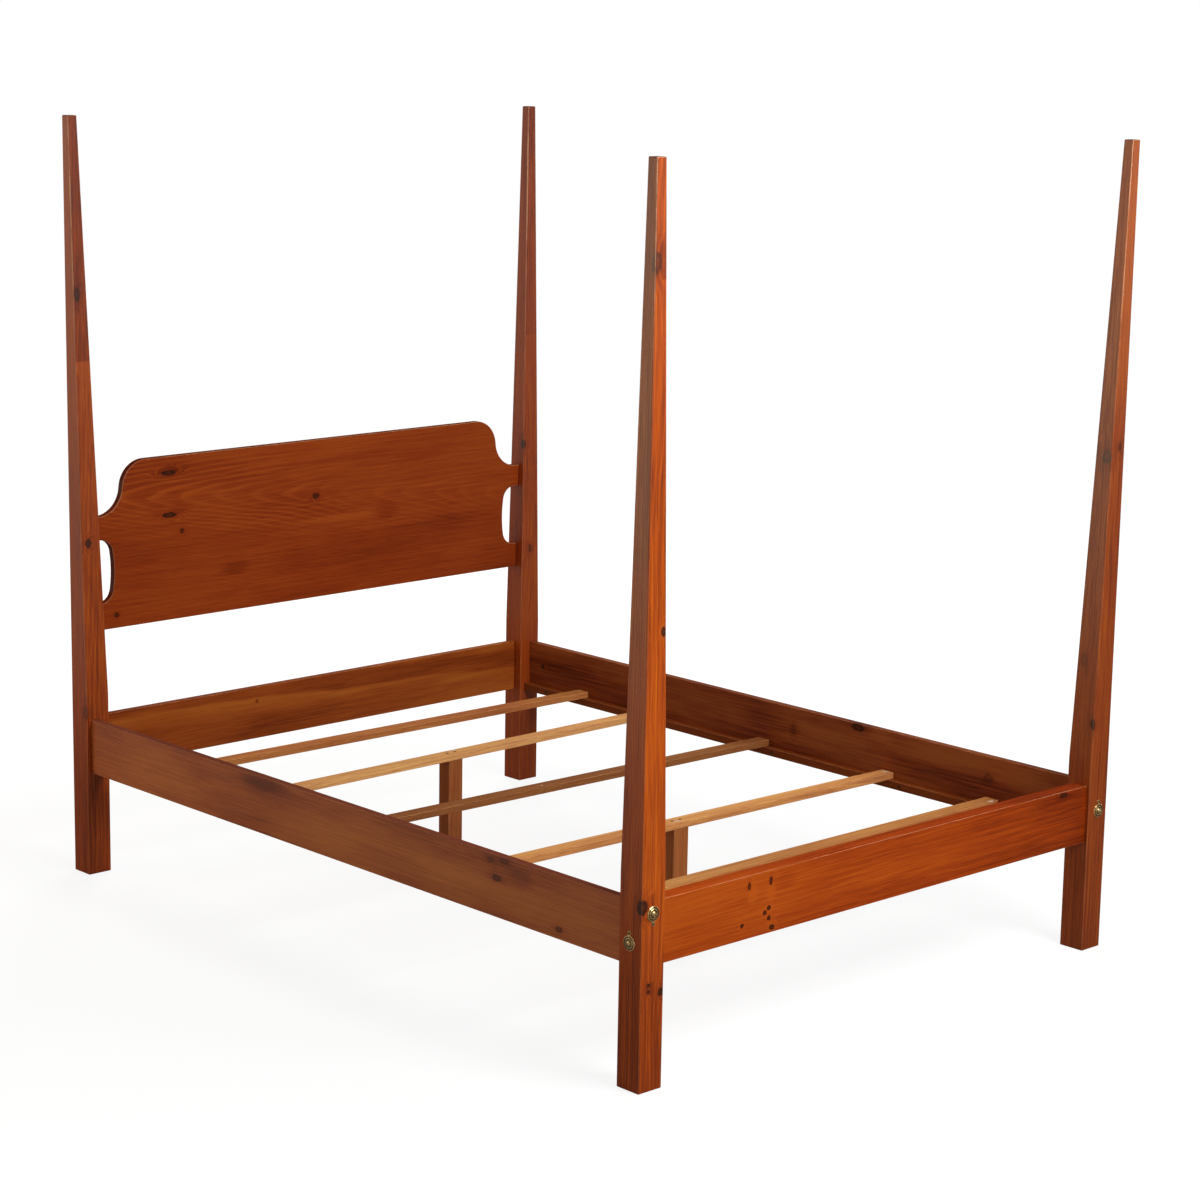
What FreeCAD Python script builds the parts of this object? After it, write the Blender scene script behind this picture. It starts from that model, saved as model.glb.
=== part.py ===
import FreeCAD, Part
import math
import os

# A full-size bed frame with four tall tapered posts, in millimetres.
# The foot end faces -Y, the head end faces +Y, and left and right are as seen from the foot.
# The origin is on the floor, midway between the posts.

# Whole bed, over the outer faces of the posts
bed_width = 1464.0
bed_length = 1993.0
bed_height = 1829.0

# Posts: square below, tapered above on the two inner faces only
post_section = 63.5
post_top_section = 25.4
taper_start = 445.0
post_edge_round = 3.0
post_end_round = 2.0

# Rails, which share one height and one bottom level
rail_bottom = 254.0
rail_height = 133.0
rail_edge_round = 1.5
side_rail_thickness = 19.0
side_rail_inset = 12.5
foot_rail_thickness = 38.0
foot_rail_inset = 9.5
head_rail_thickness = 19.0
head_rail_inset = 17.0

# Tenons at the rail ends, and the clearance in the mortises that take them
head_tenon_length = 28.0
stub_tenon_length = 12.0
tenon_shoulder = 14.0
tenon_cheek = 4.0
joint_clearance = 0.15

# Headboard: depths are measured inwards from the posts' outer side faces
board_thickness = 19.0
board_inset = 12.5
board_bottom = 595.0
board_height = 408.0
board_edge_round = 3.0
ogee_width = 138.0
ogee_drop = 129.0
neck_depth = 64.0
upper_tab_height = 58.0
lower_tab_height = 65.0
tab_end_depth = 38.0
cutout_depth = 107.4
cutout_corner = 36.0
cutout_bow_radius = 295.0

# Two old screw holes in the head-right post, beside the head rail
old_hole_diameter = 5.0
old_hole_depth = 8.0
old_hole_edge = 10.5
old_hole_height_shares = (0.195, 0.526)

# Cleats inside the side rails, and their screws
cleat_width = 19.0
cleat_height = 20.0
cleat_edge_round = 1.5
cleat_end_gap = 0.5
cleat_screw_count = 5
cleat_screw_length = 32.0
cleat_screw_margin = 90.0

# Slats, lying loose and a little askew on the cleats; the places of their left and right ends
# are shares of the clear length, from the foot
slat_width = 38.0
slat_thickness = 16.0
slat_edge_round = 1.5
slat_end_gap = 2.0
slat_left_shares = (0.134, 0.319, 0.540, 0.720, 0.883)
slat_right_shares = (0.134, 0.303, 0.520, 0.727, 0.870)

# Centre legs, one under every second slat
leg_width = 44.0
leg_depth = 38.0
leg_left_of_middle = 5.0
leg_edge_round = 1.5
leg_screw_length = 60.0
leg_screw_spacing = 24.0

# Countersunk wood screws
screw_diameter = 4.0
screw_head_diameter = 8.0
screw_head_height = 2.5
screw_slot_width = 1.0
screw_slot_depth = 0.9
screw_clearance = 0.1

# Bed bolts, with a flanged square head at the bottom of a counterbore
bolt_diameter = 8.0
bolt_flange_diameter = 13.0
bolt_flange_thickness = 2.0
bolt_square = 9.0
bolt_square_height = 6.0
bolt_hole_clearance = 0.4
counterbore_diameter = 15.0
counterbore_depth = 16.0
bolt_past_nut = 9.0
left_foot_bolt_share = 0.842
right_foot_bolt_share = 0.541
head_bolt_share = 0.541
foot_rail_bolt_share = 0.376

# Barrel nuts, let into the rails from inside
nut_diameter = 12.0
nut_clearance = 0.2
nut_beyond_bolt = 6.0
nut_sink = 1.5
nut_distance = 55.0
nut_slot_width = 1.6
nut_slot_depth = 1.5

# Bolt covers: a ringed disc and a tab with an eye, which turns on a pin
cover_diameter = 31.75
cover_height = 5.5
cover_plate = 1.6
cover_face_gap = 0.2
cover_eye_diameter = 9.5
cover_neck_width = 6.5
end_cover_shift = 8.0
side_cover_shift = 4.5
cover_ring_shares = (
    (1.00, 0.00),
    (1.00, 0.28),
    (0.92, 0.44),
    (0.86, 0.46),
    (0.825, 0.32),
    (0.74, 0.32),
    (0.63, 0.54),
    (0.56, 0.56),
    (0.52, 0.38),
    (0.40, 0.38),
    (0.36, 0.60),
    (0.29, 0.77),
    (0.20, 0.92),
    (0.10, 0.99),
    (0.00, 1.00),
)

# Pins of the covers
pin_diameter = 2.6
pin_eye_clearance = 0.25
pin_head_diameter = 5.0
pin_head_height = 1.4
pin_head_round = 0.9
pin_head_gap = 0.2
pin_depth = 14.0

# How far every cut runs past what it cuts
overrun = 2.0

half_width = bed_width / 2
half_length = bed_length / 2
rail_top = rail_bottom + rail_height
rail_heights = (rail_bottom, rail_top)
cleat_top = rail_bottom + cleat_height
slat_top = cleat_top + slat_thickness
side_rail_inner = side_rail_inset + side_rail_thickness
side_rail_middle = side_rail_inset + side_rail_thickness / 2
foot_rail_inner = foot_rail_inset + foot_rail_thickness
foot_rail_middle = foot_rail_inset + foot_rail_thickness / 2
head_rail_inner = head_rail_inset + head_rail_thickness
board_inner = board_inset + board_thickness
board_top = board_bottom + board_height
shoulder_depth = neck_depth + ogee_width
upper_tab_top = board_top - ogee_drop
upper_tab_bottom = upper_tab_top - upper_tab_height
lower_tab_top = board_bottom + lower_tab_height
cover_pin_distance = (cover_diameter + cover_eye_diameter) / 2
side_names = {-1: "left", 1: "right"}
end_names = {-1: "foot", 1: "head"}
along_x = FreeCAD.Vector(1, 0, 0)
along_y = FreeCAD.Vector(0, 1, 0)
along_z = FreeCAD.Vector(0, 0, 1)

os.makedirs("parts", exist_ok=True)


def save(node, *shapes):
    """Write one node, made of one solid or of several separate ones."""
    shape = shapes[0] if len(shapes) == 1 else Part.makeCompound(list(shapes))
    shape.exportStep("parts/" + node + ".step")


def from_side(side, depth):
    """X of a plane that lies this deep from the posts' outer faces on one side."""
    return side * (half_width - depth)


def from_end(end, depth):
    """Y of a plane that lies this deep from the posts' outer faces at one end."""
    return end * (half_length - depth)


def block(x_pair, y_pair, z_pair):
    """A box between three pairs of planes, in either order."""
    pairs = [sorted(pair) for pair in (x_pair, y_pair, z_pair)]
    corner = FreeCAD.Vector(*[pair[0] for pair in pairs])
    return Part.makeBox(*[pair[1] - pair[0] for pair in pairs], corner)


def bar(x_pair, y_pair, z_pair, axis, radius):
    """A box whose four edges along an axis are rounded."""
    box = block(x_pair, y_pair, z_pair)
    edges = [edge for edge in box.Edges if abs(edge.tangentAt(edge.FirstParameter).dot(axis)) > 0.5]
    return box.makeFillet(radius, edges)


def rod(start, direction, diameter, length):
    """A cylinder from a point along a direction."""
    return Part.makeCylinder(diameter / 2, length, start, direction)


def facing(place, direction):
    """The move to a point that turns +Z to a direction."""
    return FreeCAD.Placement(place, FreeCAD.Rotation(along_z, direction))


# Bolts: each has the post that it passes, the rail that it holds, the point where its axis meets
# the post's outer face, the way it runs, the way to the inner face of its rail, and its cover.
def end_bolt(side, end, share):
    """A bolt along Y that holds a side rail to a post."""
    return {
        "name": end_names[end] + "_" + side_names[side] + "_end",
        "post": (side, end),
        "rail": "side_rail_" + side_names[side],
        "face": FreeCAD.Vector(
            from_side(side, side_rail_middle),
            from_end(end, 0),
            rail_bottom + share * rail_height,
        ),
        "into": along_y * -end,
        "inward": along_x * -side,
        "rail_half": side_rail_thickness / 2,
        "cover_shift": end_cover_shift,
        "pin_way": along_z,
    }


def side_bolt(side):
    """A bolt along X that holds the foot rail to a foot post."""
    return {
        "name": "foot_" + side_names[side] + "_side",
        "post": (side, -1),
        "rail": "foot_rail",
        "face": FreeCAD.Vector(
            from_side(side, 0),
            from_end(-1, foot_rail_middle),
            rail_bottom + foot_rail_bolt_share * rail_height,
        ),
        "into": along_x * -side,
        "inward": along_y,
        "rail_half": foot_rail_thickness / 2,
        "cover_shift": side_cover_shift,
        "pin_way": along_z,
    }


# The cover on the foot-left post's foot face stands above its pin; the others hang below theirs.
standing_bolt = end_bolt(-1, -1, left_foot_bolt_share)
standing_bolt["pin_way"] = along_z * -1
bolts = [
    standing_bolt,
    end_bolt(1, -1, right_foot_bolt_share),
    end_bolt(-1, 1, head_bolt_share),
    end_bolt(1, 1, head_bolt_share),
    side_bolt(-1),
    side_bolt(1),
]
bolt_reach = post_section + nut_distance + bolt_past_nut


def bolt_bore(bolt):
    """The counterbore and the long hole that a bolt needs."""
    start = bolt["face"] - bolt["into"] * overrun
    bore = rod(start, bolt["into"], counterbore_diameter, counterbore_depth + overrun)
    hole = rod(start, bolt["into"], bolt_diameter + 2 * bolt_hole_clearance, bolt_reach + 2 * overrun)
    return bore.fuse(hole)


def nut_place(bolt):
    """The point of the bolt's axis that lies inside its nut."""
    return bolt["face"] + bolt["into"] * (post_section + nut_distance)


def nut_pocket(bolt):
    """The hole in the rail's inner face that a nut is let into."""
    start = nut_place(bolt) + bolt["inward"] * (bolt["rail_half"] + overrun)
    depth = overrun + bolt["rail_half"] + nut_beyond_bolt + nut_clearance
    return rod(start, bolt["inward"] * -1, nut_diameter + 2 * nut_clearance, depth)


def cover_middle(bolt):
    """Middle of a cover's disc on the post's outer face, shifted towards the post's own middle."""
    return bolt["face"] + bolt["inward"] * bolt["cover_shift"]


def pin_place(bolt):
    """Where a cover's pin enters the post's outer face."""
    return cover_middle(bolt) + bolt["pin_way"] * cover_pin_distance


def pin_hole(bolt):
    """The hole that a cover's pin is driven into."""
    return rod(pin_place(bolt) - bolt["into"] * overrun, bolt["into"], pin_diameter, pin_depth + overrun)


# Screws: a countersunk head with a slot, and a plain shank
def screw(head_place, direction, length):
    """A screw whose flat head lies at a point, and which runs along a direction."""
    shank = rod(head_place, direction, screw_diameter, length)
    head = Part.makeCone(
        screw_head_diameter / 2, screw_diameter / 2, screw_head_height, head_place, direction
    )
    slot = Part.makeBox(2 * screw_head_diameter, screw_slot_width, 2 * screw_slot_depth)
    slot.translate(FreeCAD.Vector(-screw_head_diameter, -screw_slot_width / 2, -screw_slot_depth))
    slot.Placement = facing(head_place, direction).multiply(slot.Placement)
    return shank.fuse(head).cut(slot)


def screw_hole(head_place, direction, length):
    """The countersunk hole for a screw."""
    start = head_place - direction * overrun
    shank = rod(start, direction, screw_diameter + 2 * screw_clearance, length + overrun + screw_clearance)
    head = Part.makeCone(
        screw_head_diameter / 2 + screw_clearance,
        screw_diameter / 2 + screw_clearance,
        screw_head_height,
        head_place,
        direction,
    )
    mouth = rod(start, direction, screw_head_diameter + 2 * screw_clearance, overrun)
    return shank.fuse([head, mouth])


def cleat_screw_places(side):
    """The heads of one cleat's screws, on its inner face."""
    first = from_end(-1, post_section + cleat_screw_margin)
    step = -2 * first / (cleat_screw_count - 1)
    x = from_side(side, side_rail_inner + cleat_width)
    z = rail_bottom + cleat_height / 2
    return [FreeCAD.Vector(x, first + number * step, z) for number in range(cleat_screw_count)]


# Tenons on the rails; with a clearance, the mortises for them
def tenon_along_x(side, y_pair, length, clearance=0):
    """A tenon that enters a post through its inner side face."""
    x_pair = (from_side(side, post_section + overrun), from_side(side, post_section - length - clearance))
    thin = (min(y_pair) + tenon_cheek - clearance, max(y_pair) - tenon_cheek + clearance)
    tall = (rail_bottom + tenon_shoulder - clearance, rail_top - tenon_shoulder + clearance)
    return block(x_pair, thin, tall)


def tenon_along_y(end, x_pair, length, clearance=0):
    """A tenon that enters a post through its inner end face."""
    y_pair = (from_end(end, post_section + overrun), from_end(end, post_section - length - clearance))
    thin = (min(x_pair) + tenon_cheek - clearance, max(x_pair) - tenon_cheek + clearance)
    tall = (rail_bottom + tenon_shoulder - clearance, rail_top - tenon_shoulder + clearance)
    return block(thin, y_pair, tall)


side_rail_x = {side: (from_side(side, side_rail_inset), from_side(side, side_rail_inner)) for side in (-1, 1)}
foot_rail_y = (from_end(-1, foot_rail_inset), from_end(-1, foot_rail_inner))
head_rail_y = (from_end(1, head_rail_inset), from_end(1, head_rail_inner))


# Posts, with their mortises, bolt bores and pin holes
def post_body(side, end):
    """A post before any joint is cut in it."""

    def square(height, width):
        steps = ((0, 0), (width, 0), (width, width), (0, width), (0, 0))
        return Part.makePolygon(
            [FreeCAD.Vector(from_side(side, across), from_end(end, along), height) for across, along in steps]
        )

    levels = ((0, post_section), (taper_start, post_section), (bed_height, post_top_section))
    body = Part.makeLoft([square(*level) for level in levels], True, True)
    long_edges = [edge for edge in body.Edges if edge.BoundBox.ZLength > post_section]
    body = body.makeFillet(post_edge_round, long_edges)
    rims = []
    for edge in body.Edges:
        low, high = edge.BoundBox.ZMin, edge.BoundBox.ZMax
        if high < joint_clearance or low > bed_height - joint_clearance:
            rims.append(edge)
    return body.makeFillet(post_end_round, rims)


def post(side, end):
    """A post with everything that is cut into it."""
    cuts = [tenon_along_y(end, side_rail_x[side], stub_tenon_length, joint_clearance)]
    if end < 0:
        cuts.append(tenon_along_x(side, foot_rail_y, stub_tenon_length, joint_clearance))
    else:
        cuts.append(tenon_along_x(side, head_rail_y, head_tenon_length, joint_clearance))
        tab_x = (from_side(side, tab_end_depth - joint_clearance), from_side(side, post_section + overrun))
        tab_y = (from_end(end, board_inset - joint_clearance), from_end(end, board_inner + joint_clearance))
        for low, high in ((upper_tab_bottom, upper_tab_top), (board_bottom, lower_tab_top)):
            cuts.append(block(tab_x, tab_y, (low - joint_clearance, high + joint_clearance)))
    for bolt in bolts:
        if bolt["post"] == (side, end):
            cuts.append(bolt_bore(bolt))
            cuts.append(pin_hole(bolt))
    if (side, end) == (1, 1):
        for share in old_hole_height_shares:
            start = FreeCAD.Vector(
                from_side(side, post_section + overrun),
                from_end(end, post_section - old_hole_edge),
                rail_bottom + share * rail_height,
            )
            cuts.append(rod(start, along_x * side, old_hole_diameter, old_hole_depth + overrun))
    return post_body(side, end).cut(cuts)


for side in (-1, 1):
    for end in (-1, 1):
        save("post_" + end_names[end] + "_" + side_names[side], post(side, end))


# Headboard: an ogee at each shoulder, and a bowed D-shaped cut-out between the two tabs at each end
def board_half_outline(side):
    """The edges of one half of the outline, from the middle of the top to the middle of the bottom."""

    def at(depth, height):
        return FreeCAD.Vector(from_side(side, depth), from_end(1, board_inner), height)

    def line(start, finish):
        return Part.makeLine(at(*start), at(*finish))

    def arc(start, middle, finish):
        return Part.Arc(at(*start), at(*middle), at(*finish)).toShape()

    half_turn = math.atan(ogee_drop / ogee_width)
    ogee_radius = math.hypot(ogee_width, ogee_drop) ** 2 / (4 * ogee_drop)
    reach = ogee_radius * math.sin(half_turn)
    fall = ogee_radius * (1 - math.cos(half_turn))
    crest = (shoulder_depth, board_top)
    crest_middle = (shoulder_depth - reach, board_top - fall)
    waist = ((shoulder_depth + neck_depth) / 2, (board_top + upper_tab_top) / 2)
    neck_middle = (neck_depth + reach, upper_tab_top + fall)
    neck = (neck_depth, upper_tab_top)

    bay_middle = (upper_tab_bottom + lower_tab_top) / 2
    corner_rise = upper_tab_bottom - cutout_corner - bay_middle
    corner_run = math.sqrt((cutout_bow_radius - cutout_corner) ** 2 - corner_rise ** 2)
    corner_depth = cutout_depth - cutout_bow_radius + corner_run
    bow_turn = math.atan2(corner_rise, corner_run)
    corner_turn = (math.pi / 2 + bow_turn) / 2
    bow_depth = cutout_depth - cutout_bow_radius * (1 - math.cos(bow_turn))
    bow_rise = cutout_bow_radius * math.sin(bow_turn)
    knee_depth = corner_depth + cutout_corner * math.cos(corner_turn)
    knee_rise = corner_rise + cutout_corner * math.sin(corner_turn)

    return [
        line((half_width, board_top), crest),
        arc(crest, crest_middle, waist),
        arc(waist, neck_middle, neck),
        line(neck, (tab_end_depth, upper_tab_top)),
        line((tab_end_depth, upper_tab_top), (tab_end_depth, upper_tab_bottom)),
        line((tab_end_depth, upper_tab_bottom), (corner_depth, upper_tab_bottom)),
        arc((corner_depth, upper_tab_bottom), (knee_depth, bay_middle + knee_rise), (bow_depth, bay_middle + bow_rise)),
        arc((bow_depth, bay_middle + bow_rise), (cutout_depth, bay_middle), (bow_depth, bay_middle - bow_rise)),
        arc((bow_depth, bay_middle - bow_rise), (knee_depth, bay_middle - knee_rise), (corner_depth, lower_tab_top)),
        line((corner_depth, lower_tab_top), (tab_end_depth, lower_tab_top)),
        line((tab_end_depth, lower_tab_top), (tab_end_depth, board_bottom)),
        line((tab_end_depth, board_bottom), (half_width, board_bottom)),
    ]


def headboard():
    """The panel with all its edges eased, but for the ends of its tabs."""
    edges = board_half_outline(-1) + board_half_outline(1)
    outline = Part.Wire(Part.__sortEdges__(edges))
    panel = Part.Face(outline).extrude(along_y * board_thickness).removeSplitter()
    tab_end = half_width - tab_end_depth
    rims = []
    for edge in panel.Edges:
        box = edge.BoundBox
        crosses_panel = box.YLength > joint_clearance
        at_tab_end = max(abs(box.XMin), abs(box.XMax)) > tab_end - joint_clearance
        if not crosses_panel and not (at_tab_end and box.XLength < joint_clearance):
            rims.append(edge)
    return panel.makeFillet(board_edge_round, rims)


save("headboard", headboard())


# Rails, with their tenons, bolt bores, nut pockets and screw holes
def drilled(node, rail):
    """A rail with the bores and pockets of the bolts that hold it."""
    for bolt in bolts:
        if bolt["rail"] == node:
            rail = rail.cut([bolt_bore(bolt), nut_pocket(bolt)])
    return rail


for side in (-1, 1):
    node = "side_rail_" + side_names[side]
    shoulders = (from_end(-1, post_section), from_end(1, post_section))
    rail = bar(side_rail_x[side], shoulders, rail_heights, along_y, rail_edge_round)
    rail = rail.fuse([tenon_along_y(end, side_rail_x[side], stub_tenon_length) for end in (-1, 1)])
    holes = [screw_hole(place, along_x * side, cleat_screw_length) for place in cleat_screw_places(side)]
    save(node, drilled(node, rail.cut(holes)))

shoulders = (from_side(-1, post_section), from_side(1, post_section))
for node, y_pair, length in (
    ("foot_rail", foot_rail_y, stub_tenon_length),
    ("head_rail", head_rail_y, head_tenon_length),
):
    rail = bar(shoulders, y_pair, rail_heights, along_x, rail_edge_round)
    rail = rail.fuse([tenon_along_x(side, y_pair, length) for side in (-1, 1)])
    save(node, drilled(node, rail))


# Cleats, flush with the bottoms of the side rails and screwed to them from inside
cleat_screws = []
for side in (-1, 1):
    cleat_x = (from_side(side, side_rail_inner), from_side(side, side_rail_inner + cleat_width))
    cleat_y = (from_end(-1, post_section + cleat_end_gap), from_end(1, post_section + cleat_end_gap))
    cleat = bar(cleat_x, cleat_y, (rail_bottom, cleat_top), along_y, cleat_edge_round)
    places = cleat_screw_places(side)
    cleat = cleat.cut([screw_hole(place, along_x * side, cleat_screw_length) for place in places])
    save("slat_cleat_" + side_names[side], cleat)
    cleat_screws += [screw(place, along_x * side, cleat_screw_length) for place in places]
save("cleat_screws", *cleat_screws)


# Slats, numbered from the foot, and the centre leg under every second one.
# Each is made square to the bed at its middle, then turned and moved to its place.
slat_length = 2 * (half_width - side_rail_inner - slat_end_gap)
clear_start = from_end(-1, foot_rail_inner)
clear_length = from_end(1, head_rail_inner) - clear_start


def slat_place(left_share, right_share):
    """The turn and the move that bring a slat's ends to their places on the cleats."""
    left = clear_start + left_share * clear_length
    right = clear_start + right_share * clear_length
    turn = FreeCAD.Rotation(along_z, math.degrees(math.atan2(right - left, slat_length)))
    return FreeCAD.Placement(along_y * ((left + right) / 2), turn)


def put(shape, place):
    """A shape moved to a slat's place."""
    shape.Placement = place.multiply(shape.Placement)
    return shape


def slat():
    """A slat along X."""
    ends = (-slat_length / 2, slat_length / 2)
    edges = (-slat_width / 2, slat_width / 2)
    return bar(ends, edges, (cleat_top, slat_top), along_x, slat_edge_round)


def leg():
    """A centre leg from the floor to the underside of its slat."""
    x_pair = (-leg_left_of_middle - leg_width / 2, -leg_left_of_middle + leg_width / 2)
    y_pair = (-leg_depth / 2, leg_depth / 2)
    return bar(x_pair, y_pair, (0, cleat_top), along_z, leg_edge_round)


leg_screw_offsets = (-leg_screw_spacing / 2, leg_screw_spacing / 2)
leg_screw_heads = [FreeCAD.Vector(offset - leg_left_of_middle, 0, slat_top) for offset in leg_screw_offsets]
leg_screw_holes = [screw_hole(head, along_z * -1, leg_screw_length) for head in leg_screw_heads]
for number, shares in enumerate(zip(slat_left_shares, slat_right_shares), start=1):
    place = slat_place(*shares)
    if number % 2:
        save("slat_" + str(number), put(slat(), place))
        continue
    screws = [screw(head, along_z * -1, leg_screw_length) for head in leg_screw_heads]
    save("slat_" + str(number), put(slat().cut(leg_screw_holes), place))
    save("centre_leg_" + str(number), put(leg().cut(leg_screw_holes), place))
    save("leg_screws_" + str(number), *[put(solid, place) for solid in screws])


# Bed bolts and their nuts
def bolt_solid(bolt):
    """A plain shank under a round flange and a square head."""
    into = bolt["into"]
    seat = bolt["face"] + into * counterbore_depth
    shank = rod(seat, into, bolt_diameter, bolt_reach - counterbore_depth)
    flange = rod(seat - into * bolt_flange_thickness, into, bolt_flange_diameter, bolt_flange_thickness)
    square = Part.makeBox(bolt_square, bolt_square, bolt_square_height)
    square.translate(FreeCAD.Vector(-bolt_square / 2, -bolt_square / 2, bolt_flange_thickness))
    square.Placement = facing(seat, into * -1).multiply(square.Placement)
    return shank.fuse([flange, square])


def nut_solid(bolt):
    """A barrel with a cross hole for the bolt and a slot in the end that shows."""
    inward = bolt["inward"]
    middle = nut_place(bolt)
    length = bolt["rail_half"] - nut_sink + nut_beyond_bolt
    end = middle + inward * (bolt["rail_half"] - nut_sink)
    barrel = rod(end, inward * -1, nut_diameter, length)
    hole_start = middle - bolt["into"] * (nut_diameter / 2 + overrun)
    hole = rod(hole_start, bolt["into"], bolt_diameter + 2 * joint_clearance, nut_diameter + 2 * overrun)
    slot = Part.makeBox(nut_diameter + 2 * overrun, nut_slot_width, 2 * nut_slot_depth)
    slot.translate(FreeCAD.Vector(-nut_diameter / 2 - overrun, -nut_slot_width / 2, -nut_slot_depth))
    slot.Placement = facing(end, inward).multiply(slot.Placement)
    return barrel.cut([hole, slot])


save("bed_bolts", *[bolt_solid(bolt) for bolt in bolts])
save("barrel_nuts", *[nut_solid(bolt) for bolt in bolts])


# Bolt covers and the pins that they turn on
def cover_solid(bolt):
    """A ringed disc with a tab, made flat with its front up and its pin towards +Y, then placed."""
    rings = [
        FreeCAD.Vector(radius_share * cover_diameter / 2, 0, height_share * cover_height)
        for radius_share, height_share in cover_ring_shares
    ]
    middle = FreeCAD.Vector(0, 0, 0)
    section = Part.Face(Part.makePolygon([middle] + rings + [middle]))
    disc = section.revolve(middle, along_z, 360)
    eye_place = along_y * cover_pin_distance
    neck = block((-cover_neck_width / 2, cover_neck_width / 2), (0, cover_pin_distance), (0, cover_plate))
    eye = rod(eye_place, along_z, cover_eye_diameter, cover_plate)
    hole_diameter = pin_diameter + 2 * pin_eye_clearance
    hole = rod(eye_place - along_z * overrun, along_z, hole_diameter, cover_plate + 2 * overrun)
    cover = disc.fuse([neck, eye]).cut(hole)
    front = bolt["into"] * -1
    turn = FreeCAD.Rotation(bolt["pin_way"].cross(front), bolt["pin_way"], front, "ZYX")
    cover.Placement = FreeCAD.Placement(cover_middle(bolt) + front * cover_face_gap, turn)
    return cover


def pin_solid(bolt):
    """A round-headed pin, with its head just clear of the tab."""
    front = bolt["into"] * -1
    under_head = pin_place(bolt) + front * (cover_face_gap + cover_plate + pin_head_gap)
    head = rod(under_head, front, pin_head_diameter, pin_head_height)
    top = under_head + front * pin_head_height
    rims = [edge for edge in head.Edges if edge.BoundBox.Center.distanceToPoint(top) < joint_clearance]
    head = head.makeFillet(pin_head_round, rims)
    shank_length = pin_depth + cover_face_gap + cover_plate + pin_head_gap
    shank = rod(pin_place(bolt) - front * pin_depth, front, pin_diameter, shank_length)
    return head.fuse(shank)


for bolt in bolts:
    save("bolt_cover_" + bolt["name"], cover_solid(bolt))
save("cover_pins", *[pin_solid(bolt) for bolt in bolts])
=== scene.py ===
import bpy
import math
from mathutils import Euler, Matrix, Vector


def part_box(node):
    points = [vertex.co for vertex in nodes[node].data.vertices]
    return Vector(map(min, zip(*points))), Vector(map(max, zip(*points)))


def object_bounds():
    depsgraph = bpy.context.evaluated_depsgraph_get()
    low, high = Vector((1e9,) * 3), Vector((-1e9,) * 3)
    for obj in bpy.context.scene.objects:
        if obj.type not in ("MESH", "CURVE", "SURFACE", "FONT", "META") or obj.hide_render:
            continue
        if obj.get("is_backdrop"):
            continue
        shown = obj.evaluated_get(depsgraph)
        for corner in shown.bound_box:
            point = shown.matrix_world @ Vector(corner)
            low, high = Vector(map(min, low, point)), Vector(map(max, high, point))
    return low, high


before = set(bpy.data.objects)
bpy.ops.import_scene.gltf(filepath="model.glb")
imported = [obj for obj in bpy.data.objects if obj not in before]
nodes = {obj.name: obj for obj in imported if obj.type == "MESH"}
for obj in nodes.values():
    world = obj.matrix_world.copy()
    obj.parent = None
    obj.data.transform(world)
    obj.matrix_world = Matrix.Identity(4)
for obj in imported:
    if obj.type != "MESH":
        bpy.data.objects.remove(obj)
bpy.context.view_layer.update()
bpy.ops.object.select_all(action="DESELECT")


# Posts: four pine posts, square below and drawn in above the rails on their two inner faces.
# They were planed, stained red-brown and lacquered before the bed was put together, so the grain
# runs up each post, and each shows the growth rings and knots of its own length of timber.
def put(tree, kind, inputs=None, **settings):
    """Adds a shader node, sets it up, and fills its inputs with values or with links."""
    made = tree.nodes.new("ShaderNode" + kind)
    for name, value in settings.items():
        setattr(made, name, value)
    for name, value in (inputs or {}).items():
        if isinstance(value, bpy.types.NodeSocket):
            tree.links.new(value, made.inputs[name])
        else:
            made.inputs[name].default_value = value
    return made.outputs


def maths(tree, operation, *values):
    """The result of one arithmetic node."""
    return put(tree, "Math", dict(enumerate(values)), operation=operation)[0]


def vectors(tree, operation, first, second):
    """The vector result of one vector node."""
    return put(tree, "VectorMath", {0: first, 1: second}, operation=operation)[0]


def ease(tree, value, start, finish, low=0.0, high=1.0):
    """A value that eases from low at start to high at finish."""
    inputs = {0: value, 1: start, 2: finish, 3: low, 4: high}
    return put(tree, "MapRange", inputs, interpolation_type="SMOOTHSTEP")[0]


def noise(tree, place, waves, detail, roughness=0.55):
    """Soft noise with a number of waves per metre along each axis."""
    squeezed = vectors(tree, "MULTIPLY", place, waves)
    inputs = {"Vector": squeezed, "Scale": 1.0, "Detail": detail, "Roughness": roughness}
    return put(tree, "TexNoise", inputs)


def lay_over(tree, share, under, over):
    """One colour laid over another."""
    return put(tree, "Mix", {0: share, 6: under, 7: over}, data_type="RGBA")[2]


def shader_group(name, inputs, outputs):
    """An empty node group, with the sockets to read from and to fill."""
    tree = bpy.data.node_groups.new(name, "ShaderNodeTree")
    for label, kind in inputs.items():
        tree.interface.new_socket(label, in_out="INPUT", socket_type="NodeSocket" + kind)
    for label in outputs:
        tree.interface.new_socket(label, in_out="OUTPUT", socket_type="NodeSocketFloat")
    return tree, tree.nodes.new("NodeGroupInput").outputs, tree.nodes.new("NodeGroupOutput").inputs


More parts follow.
